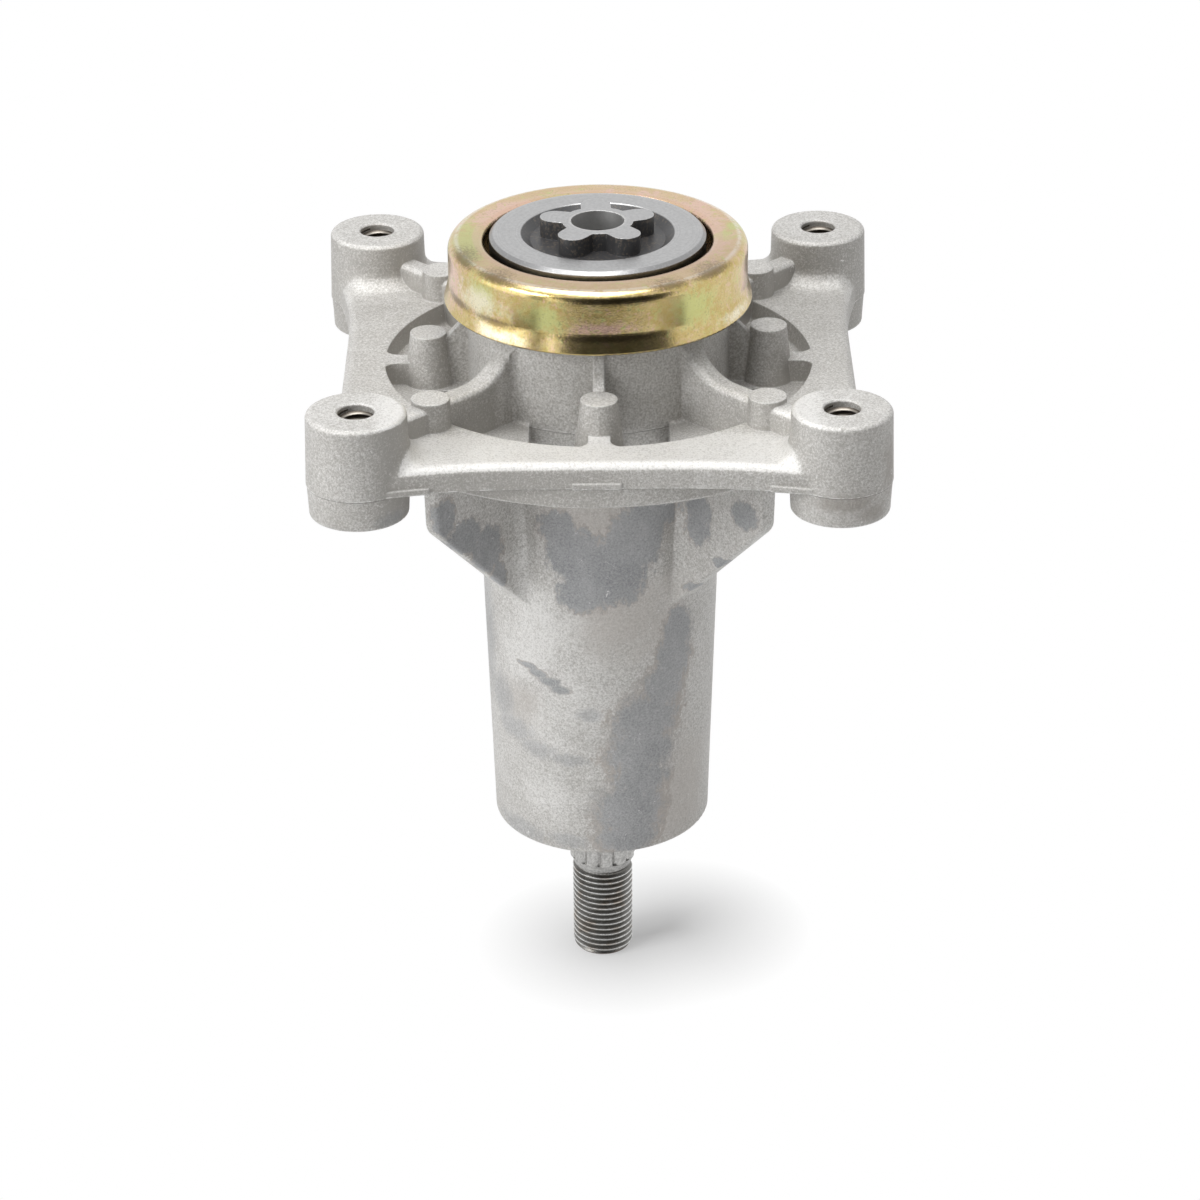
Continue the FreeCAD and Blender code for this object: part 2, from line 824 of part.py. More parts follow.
def seal(middle, up):
    """Rubber-faced seal snapped into the outer ring, its lip just clear of the inner ring."""
    inner_r = inner_land_r + seal_lip_gap
    outer_r = outer_land_r + seal_groove_depth - seat_clearance
    low = bearing_width / 2 - seal_inset - seal_thickness
    disc = turned([
        (inner_r, low),
        (outer_r, low),
        (outer_r, low + seal_thickness),
        (inner_r + seal_lip_length, low + seal_thickness),
        (inner_r, low + seal_lip_thickness),
    ])
    if not up:
        disc = disc.mirror(ORIGIN, Z_AXIS)
    disc.translate(Vector(0, 0, middle))
    return disc


def bearing(name, middle):
    """All pieces of one sealed ball bearing."""
    return {
        name + "_bearing_outer_ring": outer_ring(middle),
        name + "_bearing_inner_ring": inner_ring(middle),
        name + "_bearing_balls": balls(middle),
        name + "_bearing_cage_upper": cage_half(middle, True),
        name + "_bearing_cage_lower": cage_half(middle, False),
        name + "_bearing_cage_rivets": cage_rivets(middle),
        name + "_bearing_seal_upper": seal(middle, True),
        name + "_bearing_seal_lower": seal(middle, False),
    }


nodes = {
    "spindle_housing": housing(),
    "spindle_shaft": shaft(),
    "dust_shield": dust_shield(),
    "spacer_sleeve": sleeve(),
}
nodes.update(bearing("blade", blade_bearing_mid))
nodes.update(bearing("pulley", pulley_bearing_mid))

os.makedirs("parts", exist_ok=True)
for node, shape in nodes.items():
    print(node, "valid", shape.isValid(), "solids", len(shape.Solids), "faces", len(shape.Faces),
          "volume", round(shape.Volume, 2))
    shape.exportStep("parts/" + node + ".step")
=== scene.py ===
import json
import math

import bmesh
import bpy
from mathutils import Matrix, Vector


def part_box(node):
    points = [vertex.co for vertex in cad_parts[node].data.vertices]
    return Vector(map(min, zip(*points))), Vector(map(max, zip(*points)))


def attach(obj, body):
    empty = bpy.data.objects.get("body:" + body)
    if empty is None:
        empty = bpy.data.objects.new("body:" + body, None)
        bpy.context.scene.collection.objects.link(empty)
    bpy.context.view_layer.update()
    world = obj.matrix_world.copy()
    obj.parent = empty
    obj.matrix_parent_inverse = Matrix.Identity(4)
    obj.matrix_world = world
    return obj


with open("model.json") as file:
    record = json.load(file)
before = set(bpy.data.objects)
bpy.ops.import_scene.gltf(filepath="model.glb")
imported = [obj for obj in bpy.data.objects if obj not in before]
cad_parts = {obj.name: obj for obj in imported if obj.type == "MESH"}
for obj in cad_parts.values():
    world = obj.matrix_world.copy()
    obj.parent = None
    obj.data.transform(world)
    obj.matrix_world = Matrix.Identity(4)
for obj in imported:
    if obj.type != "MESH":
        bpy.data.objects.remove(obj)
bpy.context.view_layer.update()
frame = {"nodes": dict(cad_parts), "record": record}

# Sizes are in metres unless a name ends in _mm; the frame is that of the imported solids.
MM = 0.001

# Heights and radii of the spindle that finishes and threads are fitted to, in millimetres
shaft_low, shaft_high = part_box("spindle_shaft")
shaft_end_mm = shaft_low.z / MM
star_top_mm = shaft_high.z / MM
head_face_mm = star_top_mm - 2.5
recess_floor_mm = head_face_mm - 1.8
recess_rim_r_mm = 17.3
star_bore_r_mm = 5.94
thread_top_mm = -117.5
thread_crest_r_mm = 7.12
thread_pitch_mm = 1.411
deck_bolts = next(m for m in frame["record"]["mounts"] if m["name"] == "deck_bolts")
boss_pos_mm = deck_bolts["dims"]["spacing_x_mm"] / 2
boss_height_mm = 23.5
parting_z_mm = 7.3
# Heights between which something sets in, in millimetres: off down from the plate, up to the tops of the
# pocket's rails, and up to the top of the shield
BELOW_PLATE_MM = (-3.0, -9.0)
RAIL_TOPS_MM = (9.0, 11.0)
SHIELD_TOP_MM = (41.6, 42.3)


class Wire:
    """A shader socket for plain arithmetic: an expression on wires adds its Math nodes."""

    def __init__(self, finish, socket):
        self.finish = finish
        self.socket = socket

    def math(self, operation, first, second=0.0):
        return self.finish.node("ShaderNodeMath", {"operation": operation}, {0: first, 1: second})

    def __add__(self, other):
        return self.math("ADD", self, other)

    def __radd__(self, other):
        return self.math("ADD", other, self)

    def __sub__(self, other):
        return self.math("SUBTRACT", self, other)

    def __rsub__(self, other):
        return self.math("SUBTRACT", other, self)

    def __mul__(self, other):
        return self.math("MULTIPLY", self, other)

    def __rmul__(self, other):
        return self.math("MULTIPLY", other, self)

    def __pow__(self, other):
        return self.math("POWER", self, other)

    def __rpow__(self, other):
        return self.math("POWER", other, self)

    def __abs__(self):
        return self.math("ABSOLUTE", self)

    def least(self, other):
        return self.math("MINIMUM", self, other)

    def most(self, other):
        return self.math("MAXIMUM", self, other)


class Finish:
    """The node tree of one finish, with short names for what the finishes share."""

    def __init__(self, owner):
        owner.use_nodes = True
        self.owner = owner
        self.tree = owner.node_tree
        self.tree.nodes.clear()

    @classmethod
    def named(cls, name):
        return cls(bpy.data.materials.new(name))

    def node(self, kind, settings, sockets, output=0):
        """A node of one kind: its settings first, then its sockets. Returns one output as a wire, or a
        list of wires where the outputs come as a list."""
        made = self.tree.nodes.new(kind)
        for name, value in settings.items():
            setattr(made, name, value)
        for name, value in sockets.items():
            if isinstance(value, Wire):
                self.tree.links.new(value.socket, made.inputs[name])
            else:
                made.inputs[name].default_value = value
        if not made.outputs:
            return made
        if isinstance(output, list):
            return [Wire(self, made.outputs[name]) for name in output]
        return Wire(self, made.outputs[output])

    def place_mm(self):
        """Position on the piece in millimetres, fixed to the piece."""
        place = self.node("ShaderNodeTexCoord", {}, {}, "Object")
        return self.vector("SCALE", {0: place, "Scale": 1 / MM})

    def vector(self, operation, sockets, output=0):
        return self.node("ShaderNodeVectorMath", {"operation": operation}, sockets, output)

    def parts(self, vector):
        """The three numbers of a vector."""
        return self.node("ShaderNodeSeparateXYZ", {}, {0: vector}, ["X", "Y", "Z"])

    def joined(self, x, y=0.0, z=0.0):
        return self.node("ShaderNodeCombineXYZ", {}, {0: x, 1: y, 2: z})

    def axis_distance(self, place):
        """Distance from the piece's upright axis."""
        x, y = self.parts(place)[:2]
        return (x * x + y * y) ** 0.5

    def facing(self):
        """Direction in which the surface of the piece faces, fixed to the piece."""
        return self.node("ShaderNodeTexCoord", {}, {}, "Normal")

    def noise(self, vector, scale, detail=2.0, roughness=0.5, distortion=0.0):
        return self.node("ShaderNodeTexNoise", {}, {
            "Vector": vector, "Scale": scale, "Detail": detail, "Roughness": roughness,
            "Distortion": distortion})

    def band(self, value, low, high, smooth=True):
        """0 below low and 1 above high, or the other way round where low is the larger."""
        kind = "SMOOTHSTEP" if smooth else "LINEAR"
        return self.node("ShaderNodeMapRange", {"interpolation_type": kind},
                         {"Value": value, "From Min": low, "From Max": high})

    def mix(self, share, first, second):
        """Colour between two colours."""
        first = (*first, 1.0) if isinstance(first, tuple) else first
        second = (*second, 1.0) if isinstance(second, tuple) else second
        return self.node("ShaderNodeMix", {"data_type": "RGBA"}, {0: share, 6: first, 7: second}, 2)

    def spots(self, place, places):
        """Above 0 inside any of some ellipsoids of the piece and 1 at their centres, below 0 outside."""
        inside = None
        for centre, radii in places:
            away = self.vector("SUBTRACT", {0: place, 1: centre})
            scaled = self.vector("DIVIDE", {0: away, 1: radii})
            distance = self.vector("LENGTH", {0: scaled}, "Value")
            inside = distance if inside is None else inside.least(distance)
        return 1.0 - inside

    def bump(self, height, strength, depth_mm, normal=None):
        sockets = {"Height": height, "Strength": strength, "Distance": depth_mm * MM}
        if normal is not None:
            sockets["Normal"] = normal
        return self.node("ShaderNodeBump", {}, sockets)

    def soft_edges(self, radius_mm):
        """Surface normal with its edges rounded off."""
        return self.node("ShaderNodeBevel", {"samples": 6}, {"Radius": radius_mm * MM})

    def worn_edges(self, radius_mm):
        """1 along the outer and inner edges of a piece, 0 on its open faces."""
        return self.edge_share(self.soft_edges(radius_mm))

    def edge_share(self, rounded):
        """1 where a rounded-off normal leaves the face's own, 0 where they agree."""
        flat = self.node("ShaderNodeNewGeometry", {}, {}, "Normal")
        along = self.vector("DOT_PRODUCT", {0: rounded, 1: flat}, "Value")
        return self.band(along, 0.97, 0.85)

    def crevices(self, reach_mm):
        """1 deep in a corner or under an overhang, 0 in the open."""
        sky = self.node("ShaderNodeAmbientOcclusion", {"samples": 6, "only_local": True},
                        {"Distance": reach_mm * MM}, "AO")
        return self.band(sky, 0.85, 0.35)

    def surface(self, **sockets):
        """The finish's surface; sockets are named with underscores for spaces."""
        named = {name.replace("_", " "): value for name, value in sockets.items()}
        shader = self.node("ShaderNodeBsdfPrincipled", {}, named)
        self.node("ShaderNodeOutputMaterial", {}, {"Surface": shader})
        return self.owner

    def seen(self):
        """1 for rays that the camera, a mirror or a glass sends straight here, 0 for light bounced about."""
        kinds = ["Is Camera Ray", "Is Glossy Ray", "Is Transmission Ray"]
        camera, mirror, glass = self.node("ShaderNodeLightPath", {}, {}, kinds)
        return camera.most(mirror).most(glass)


# Casting: blasted light grey alloy with dull blue-grey stains that fade out in brown, and painted light and
# shade
CAST_LIGHT = (0.80, 0.79, 0.77)
CAST_DARK = (0.40, 0.385, 0.36)
CAST_WARM = (0.53, 0.495, 0.46)
CAST_BARE = (0.88, 0.875, 0.86)
STAIN_LIGHT = (0.47, 0.475, 0.485)
STAIN_DARK = (0.25, 0.257, 0.27)
STAIN_FRINGE = (0.47, 0.41, 0.355)
PARTING_DARK = (0.16, 0.145, 0.13)
PARTING_BRIGHT = (0.86, 0.855, 0.84)
# Centre and radii of each stain, in millimetres: a heart-shaped patch high on the barrel, a band down its
# right side that widens towards the end, a streak on its left, and patches on the two front gussets
STAINS = [
    ((-9.5, -25.6, -17.0), (4.8, 9, 4.4)),
    ((-5.6, -26.7, -23.3), (6.8, 9, 7.0)),
    ((1.0, -27.1, -27.6), (11.0, 9, 9.4)),
    ((7.8, -26.2, -20.0), (7.4, 9, 8.2)),
    ((12.0, -24.9, -13.5), (6.8, 9, 5.0)),
    ((-4.0, -26.7, -33.4), (6.3, 9, 4.8)),
    ((17.4, -20.2, -45.7), (3.7, 9, 6.4)),
    ((16.3, -20.9, -53.0), (4.6, 9, 8.4)),
    ((14.0, -22.3, -59.4), (6.0, 9, 7.0)),
    ((10.4, -24.0, -66.8), (10.0, 9, 8.0)),
    ((9.2, -24.3, -75.0), (9.6, 9, 8.0)),
    ((9.0, -24.1, -82.5), (7.8, 9, 7.0)),
    ((6.8, -24.5, -90.5), (9.4, 9, 9.4)),
    ((5.8, -24.4, -97.5), (8.2, 9, 5.0)),
    ((-16.6, -20.4, -54.2), (2.4, 9, 0.8)),
    ((-14.2, -22.0, -55.5), (2.6, 9, 1.2)),
    ((-11.8, -23.4, -57.0), (2.6, 9, 1.4)),
    ((-9.4, -24.5, -58.6), (2.6, 9, 1.3)),
    ((-34.0, -37.1, -8.8), (3.2, 4, 5.0)),
    ((-29.8, -33.0, -15.7), (5.6, 6, 4.4)),
    ((-25.0, -28.2, -21.0), (4.6, 5, 6.4)),
    ((-22.6, -25.8, -29.5), (2.2, 3, 4.4)),
    ((22.0, -25.2, -13.0), (4.4, 4, 3.6)),
    ((21.6, -24.8, -18.2), (3.6, 4, 4.0)),
    ((31.8, -34.9, -10.2), (4.0, 4, 3.4)),
    ((27.2, -30.3, -24.3), (3.0, 4, 1.6)),
    ((21.4, -24.5, -33.6), (3.4, 4, 1.8)),
]
# Painted light on the barrel left of its middle, and the warm dull zone right of it and under the heart
PAINTED_LIGHT_ZONE = [
    ((-15.0, -20.0, -45.0), (11.0, 16, 22.0)),
    ((-8.0, -24.0, -62.0), (10.0, 16, 14.0)),
    ((-10.0, -24.0, -86.0), (9.0, 16, 7.0)),
]
WARM_ZONE = [
    ((7.0, -26.0, -40.0), (15.0, 16, 13.0)),
    ((-17.0, -20.0, -64.0), (8.0, 12, 7.0)),
    ((20.0, -18.0, -90.0), (9.0, 14, 20.0)),
    ((-2.0, -27.0, -16.0), (16.0, 9, 10.0)),
]
# Faint smudges low on the barrel and on its left, and one under the front left boss
SMUDGES = [
    ((-22.8, -12.4, -66.0), (3.6, 9, 7.0)),
    ((-20.0, -16.5, -72.4), (5.4, 9, 3.6)),
    ((-14.6, -21.0, -75.6), (5.6, 9, 2.6)),
    ((-8.0, -24.4, -76.8), (5.6, 9, 1.9)),
    ((-2.6, -25.9, -64.7), (3.8, 9, 2.0)),
    ((-26.2, -6.0, -52.0), (3.4, 9, 22.0)),
    ((-19.2, -16.0, -99.2), (8.0, 9, 3.2)),
    ((-7.5, -23.8, -98.6), (5.4, 9, 2.2)),
    ((-44.0, -60.0, 1.6), (5.0, 4, 2.2)),
]
# Brown grime in the pores of the front right boss, round its right side and low on its front
GRIME_BROWN = (0.27, 0.235, 0.205)
GRIME = [
    ((62.0, -56.0, 12.0), (3.0, 5, 9.0)),
    ((54.0, -62.5, 6.0), (6.0, 4, 3.0)),
    ((49.5, -62.5, 5.5), (5.0, 4, 2.6)),
    ((58.0, -60.0, 3.0), (6.0, 5, 2.6)),
]
# Distance of the gussets' coves from the gussets' middle planes
GUSSET_COVE_MM = 5.4


def stain_share(finish, place, ragged):
    """Share of dull stain: the marked places in front, loose clouds round the back."""
    y, z = finish.parts(place)[1:]
    low_down = finish.band(z, -38.0, -62.0)
    stain = finish.band(finish.spots(place, STAINS) + ragged, -0.12 - low_down * 0.1, 0.2 + low_down * 0.25)
    stain = stain * (1 - low_down * 0.06)
    loose = finish.noise(place, 0.028, 5.0, 0.62, 0.6)
    behind = finish.band(y, -12.0, -2.0)
    below_plate = finish.band(z, 3.0, 0.0)
    return stain.most(finish.band(loose + ragged * 0.06, 0.55, 0.62) * behind * below_plate)


def wall_shade_share(finish, place, upright):
    """Painted shade on the upright walls of plate, bosses and pocket, deeper on walls facing right, at the
    back and at the front left, and lighter painted shade on the side rails' tops.
    """
    x, y, z = finish.parts(place)
    faces_right = finish.parts(finish.facing())[0]
    on_plate = finish.band(z, -1.0, 1.0)
    off_neck = finish.band(finish.axis_distance(place), 33.0, 36.0)
    right_side = finish.band(faces_right, 0.0, 0.8) * finish.band(x, 52.0, 46.0)
    far_side = finish.band(y, 0.0, 40.0)
    near_left = finish.band(y, -40.0, -46.0) * finish.band(x, 10.0, -10.0) * finish.band(x, -50.0, -44.0)
    walls = upright * on_plate * off_neck * (0.2 + right_side * 0.22 + far_side * 0.2 + near_left * 0.2)
    rails = finish.band(abs(y), 36.0, 30.0) * off_neck * finish.band(z, *RAIL_TOPS_MM) * (1 - upright)
    return walls + rails * 0.12


def low_and_crevice_shade(finish, place, pits):
    """Darker towards the bottom of the barrel, and painted shade in crevices and in the lower roots of the
    gussets, deeper where pitted.
    """
    x, y, z = finish.parts(place)
    foot = finish.band(z, -84.0, -104.0) * 0.14
    to_gusset = abs(abs(x) - abs(y)) * math.sqrt(0.5)
    root = finish.band(abs(to_gusset - GUSSET_COVE_MM), 1.8, 0.5)
    root = root * finish.band(z, -34.0, -28.0) * finish.band(z, *BELOW_PLATE_MM)
    # Painted shade in crevices, from ambient occlusion, and in the gussets' roots
    return foot + finish.crevices(9.0) * 0.3 + root * (0.1 + finish.band(pits, 0.4, 0.6) * 0.22)


def with_parting_line(finish, place, colour, upright, pits):
    """Colour with the die's parting line: a broken bright edge with a dark one under it."""
    z = finish.parts(place)[2]
    level = z + (finish.noise(place, 0.3, 2.0, 0.5) - 0.5) * 0.25 - parting_z_mm
    edge = finish.band(abs(level - 0.12), 0.16, 0.06) * upright * finish.band(pits, 0.45, 0.6)
    under = finish.band(abs(level + 0.16), 0.16, 0.04) * upright
    colour = finish.mix(under * 0.55, colour, PARTING_DARK)
    return finish.mix(edge * 0.8, colour, PARTING_BRIGHT)


def blasted_casting():
    finish = Finish.named("blasted_casting")
    place = finish.place_mm()
    x, y, z = finish.parts(place)
    upright = finish.band(abs(finish.parts(finish.facing())[2]), 0.5, 0.3)
    speck = finish.noise(place, 2.1, 4.0, 0.85)
    pits = finish.noise(place, 0.9, 3.0, 0.6)
    mottle = finish.noise(place, 0.09, 3.0, 0.55)
    fibres = finish.noise(finish.joined(x, y, z * 0.4), 0.55, 5.0, 0.75)
    ragged = (fibres - 0.5) * 1.3 + (pits - 0.5) * 0.7
    drift = (mottle - 0.5) * 1.6 + (pits - 0.5) * 0.8
    pores = (speck - 0.5) * 2.4 + (pits - 0.5) * 2.4
    on_barrel = finish.band(z, *BELOW_PLATE_MM)
    # Painted light: the barrel lighter left of its middle
    painted_light = finish.band(finish.spots(place, PAINTED_LIGHT_ZONE) + drift, -0.2, 0.8) * on_barrel
    warm = finish.band(finish.spots(place, WARM_ZONE) + drift, -0.2, 0.8) * on_barrel
    # Painted highlight on the plate's top along its front
    front_highlight = finish.band(y, -38.0, -44.0) * finish.band(abs(x), 50.0, 44.0)
    front_highlight = front_highlight * finish.band(z, *RAIL_TOPS_MM)
    tone = finish.band(speck * 0.8 + pits * 0.1 + mottle * 0.1, 0.39, 0.61, smooth=False)
    tone = tone + front_highlight * (1 - upright) * 0.42 + painted_light * 0.28
    # Painted shade on walls, in crevices and in the gussets' roots, and darker towards the bottom of the
    # barrel
    tone = tone - wall_shade_share(finish, place, upright) - low_and_crevice_shade(finish, place, pits)
    colour = finish.mix(tone, CAST_DARK, CAST_LIGHT)
    colour = finish.mix(warm * (1 - painted_light) * 0.6, colour, CAST_WARM)
    stain = stain_share(finish, place, ragged)
    fringe = finish.band(stain, 0.0, 0.3) * finish.band(stain, 1.0, 0.45) * finish.band(mottle, 0.3, 0.6)
    colour = finish.mix(fringe * 0.75, colour, STAIN_FRINGE)
    smudge = finish.band(finish.spots(place, SMUDGES) + ragged, -0.2, 0.6) * 0.5
    dull = finish.band(speck * 0.7 + mottle * 0.3, 0.38, 0.62, smooth=False)
    dull = finish.mix(dull, STAIN_DARK, STAIN_LIGHT)
    colour = finish.mix((stain * 0.88).most(smudge), colour, dull)
    grime = finish.band(finish.spots(place, GRIME) + pores, 0.05, 0.75) * 0.5
    colour = finish.mix(grime, colour, GRIME_BROWN)
    rounded = finish.soft_edges(0.6)
    strands = finish.noise(place, 0.13, 1.0, 0.4, 1.2)
    scratch = finish.band(abs(strands - 0.5), 0.0035, 0.001) * finish.band(pits, 0.5, 0.6)
    bare = (finish.edge_share(rounded) * 0.3).most(scratch * 0.7)
    colour = finish.mix(bare, colour, CAST_BARE)
    colour = with_parting_line(finish, place, colour, upright, pits)
    rough = 0.46 + (pits - 0.5) * 0.25 + stain * 0.05
    normal = finish.bump(pits, 0.5, 0.16, rounded)
    normal = finish.bump(speck, 1.0, 0.17, normal)
    return finish.surface(Base_Color=colour, Metallic=0.35, Roughness=rough, Normal=normal)


# Shield: yellow passivate over zinc, pink towards its sides and on top, green in between, with painted
# highlights and painted dark reflections
GOLD = (0.54, 0.41, 0.15)
GOLD_PALE = (0.68, 0.55, 0.28)
FILM_PINK = (0.72, 0.50, 0.39)
FILM_GREEN = (0.56, 0.60, 0.25)
HIGHLIGHT_CREAM = (0.86, 0.80, 0.62)
HIGHLIGHT_WHITE = (0.94, 0.92, 0.86)
DARK_BROWN = (0.14, 0.10, 0.055)
# Centre and radii of each tint, in millimetres. Painted dark reflections in brown: where the top turns down
# on the left and the right, under the front corner, and along the waist above the flared lip
DARK_REFLECTION_PATCHES = [
    ((-29.0, -11.5, 41.9), (5.0, 10, 1.1)),
    ((-22.0, -22.5, 41.9), (8.0, 8, 1.0)),
    ((15.0, -27.5, 41.9), (7.0, 6, 0.9)),
    ((25.0, -20.0, 41.9), (8.0, 9, 1.1)),
    ((6.0, -33.0, 40.2), (15.0, 6, 1.3)),
    ((-31.0, -13.0, 32.4), (6.0, 9, 1.2)),
    ((-23.0, -24.5, 32.2), (9.0, 8, 1.1)),
    ((3.0, -34.0, 31.9), (19.0, 6, 1.2)),
]
GREEN_PATCHES = [
    ((-25.5, -21.5, 37.5), (5.0, 7, 4.5)),
    ((-12.0, -31.0, 36.0), (6.0, 6, 4.6)),
    ((21.0, -26.0, 36.0), (7.5, 8, 5.0)),
    ((-28.5, -4.0, 42.4), (5.0, 17, 1.2)),
]
PINK_PATCHES = [
    ((-32.0, -9.0, 36.5), (4.5, 9, 8.0)),
    ((33.0, -5.0, 36.0), (3.0, 9, 7.0)),
    ((1.0, -33.0, 34.0), (8.0, 5, 1.8)),
    ((22.0, 2.0, 42.4), (12.0, 28, 1.2)),
]
# Painted dark reflection on the front of the skirt
SKIRT_REFLECTION_PATCHES = [
    ((1.5, -33.0, 37.0), (5.5, 6, 4.5)),
    ((12.0, -31.0, 37.0), (6.5, 6, 4.5)),
]
# Painted highlights in cream: on the flared lip at the front left and at the right, and on the skirt's left
CREAM_HIGHLIGHT_PATCHES = [
    ((-23.0, -26.0, 29.8), (10.0, 9, 1.8)),
    ((-26.5, -20.5, 35.6), (9.0, 10, 4.0)),
    ((30.0, -15.0, 30.0), (5.0, 9, 1.6)),
]


def film_colour(finish, place, cloud, flecks, grit, drift):
    """Yellow film with pink and green tints and painted highlights in cream: the marked places in front,
    loose tints round the back.
    """
    y, z = finish.parts(place)[1:]
    hue = finish.noise(place, 0.06, 3.0, 0.6, 0.5) + drift * 0.08
    mottle = finish.noise(place, 0.45, 5.0, 0.75, 0.8) + (grit - 0.5) * 0.3
    on_top = finish.band(z, *SHIELD_TOP_MM)
    behind = finish.band(y, -8.0, 4.0)
    green = finish.band(finish.spots(place, GREEN_PATCHES) + drift, -0.1, 0.7)
    green = green.most(finish.band(hue, 0.53, 0.6) * behind)
    green = green.most(finish.band(mottle, 0.54, 0.66) * 0.75)
    pink = finish.band(finish.spots(place, PINK_PATCHES) + drift, -0.1, 0.7).most(on_top * 0.45)
    pink = pink.most(finish.band(hue, 0.47, 0.4) * behind)
    pink = pink.most(finish.band(mottle, 0.46, 0.36) * 0.6)
    cream = finish.band(finish.spots(place, CREAM_HIGHLIGHT_PATCHES) + drift, -0.2, 1.0)
    colour = finish.mix(finish.band(cloud * 0.5 + flecks * 0.5, 0.35, 0.68), GOLD, GOLD_PALE)
    colour = finish.mix(pink * (1 - green), colour, FILM_PINK)
    colour = finish.mix(green * 0.75, colour, FILM_GREEN)
    # Painted highlights in cream
    return finish.mix(cream * 0.85, colour, HIGHLIGHT_CREAM)


def brown_and_dark_reflection_share(finish, place, flecks, grit, drift):
    """Share of dark brown: painted dark reflections, fine speckle, the hole's edge, the front of the top, and
    painted dark reflection on the front of the skirt.
    """
    y, z = finish.parts(place)[1:]
    dark_reflection = finish.band(finish.spots(place, DARK_REFLECTION_PATCHES) + (grit - 0.5) * 1.3, -0.1, 0.75)
    speckle = finish.band(grit + (flecks - 0.5) * 0.5, 0.56, 0.68) * 0.3
    skirt_reflection = finish.band(finish.spots(place, SKIRT_REFLECTION_PATCHES) + drift * 0.5, -0.2, 0.7) * 0.1
    top_front = finish.band(z, *SHIELD_TOP_MM) * finish.band(y, 12.0, -14.0) * 0.22
    hole_rim = finish.band(finish.axis_distance(place), 25.8, 25.55) * finish.band(grit, 0.35, 0.5) * 0.8
    return speckle.most(dark_reflection * 0.74).most(hole_rim).most(top_front).most(skirt_reflection)


def passivated_sheet():
    finish = Finish.named("yellow_passivated_sheet")
    place = finish.place_mm()
    z = finish.parts(place)[2]
    radius = finish.axis_distance(place)
    cloud = finish.noise(place, 0.2, 4.0, 0.7, 0.4)
    flecks = finish.noise(place, 0.7, 3.0, 0.65)
    grit = finish.noise(place, 2.0, 3.0, 0.7)
    rings = finish.noise(finish.joined(radius), 2.4, 3.0, 0.7)
    drift = (cloud - 0.5) * 1.2 + (flecks - 0.5) * 1.4 + (grit - 0.5) * 0.6
    on_top = finish.band(z, *SHIELD_TOP_MM)
    colour = film_colour(finish, place, cloud, flecks, grit, drift)
    # Painted highlight along the top's outer edge, where it turns down
    rim_highlight = finish.band(radius, 30.6, 31.6) * finish.band(z, 41.9, 42.5) * finish.band(flecks, 0.3, 0.5)
    colour = finish.mix(rim_highlight * 0.6, colour, HIGHLIGHT_WHITE)
    inner_ring = finish.band(radius + (cloud - 0.5) * 0.6, 28.2, 27.5) * on_top
    colour = finish.mix(inner_ring * 0.45, colour, FILM_PINK)
    # Dark brown: painted dark reflections, fine speckle and the hole's edge
    colour = finish.mix(brown_and_dark_reflection_share(finish, place, flecks, grit, drift), colour, DARK_BROWN)
    rough = 0.15 + cloud * 0.06 + flecks * 0.06
    normal = finish.bump(rings * on_top, 0.3, 0.03)
    normal = finish.bump(cloud, 0.35, 0.12, normal)
    normal = finish.bump(grit, 0.5, 0.03, normal)
    return finish.surface(Base_Color=colour, Metallic=1.0, Roughness=rough, Normal=normal)


# Shaft: turned steel head, black oxide around the star, dull spline and end, painted shade on the head's
# outer slope and painted light in the star's bore
STEEL = (0.50, 0.50, 0.502)
STEEL_GREY = (0.38, 0.38, 0.382)
SLOPE_SHADE = (0.26, 0.26, 0.262)
STEEL_BARE = (0.84, 0.84, 0.83)
SPLINE_LIGHT = (0.56, 0.555, 0.54)
SPLINE_GREY = (0.35, 0.346, 0.336)
BLACK_OXIDE = (0.045, 0.045, 0.047)
OXIDE_SCUFF = (0.17, 0.14, 0.11)


def blacked_share(finish, z, radius, level, in_bore, head_zone):
    """1 on the recess of the head and on the star's sides, which keep their black oxide."""
    below_face = finish.band(z, head_face_mm - 0.06, head_face_mm - 0.3)
    in_recess = below_face * finish.band(radius, recess_rim_r_mm + 0.3, recess_rim_r_mm)
    star_side = finish.band(z, recess_floor_mm, recess_floor_mm + 0.1) * (1 - level)
    star_side = star_side * finish.band(radius, recess_rim_r_mm - 1.2, recess_rim_r_mm - 2.4)
    star_side = star_side * finish.band(radius, star_bore_r_mm + 0.3, star_bore_r_mm + 0.6)
    return (in_recess * (1 - in_bore)).most(star_side) * head_zone


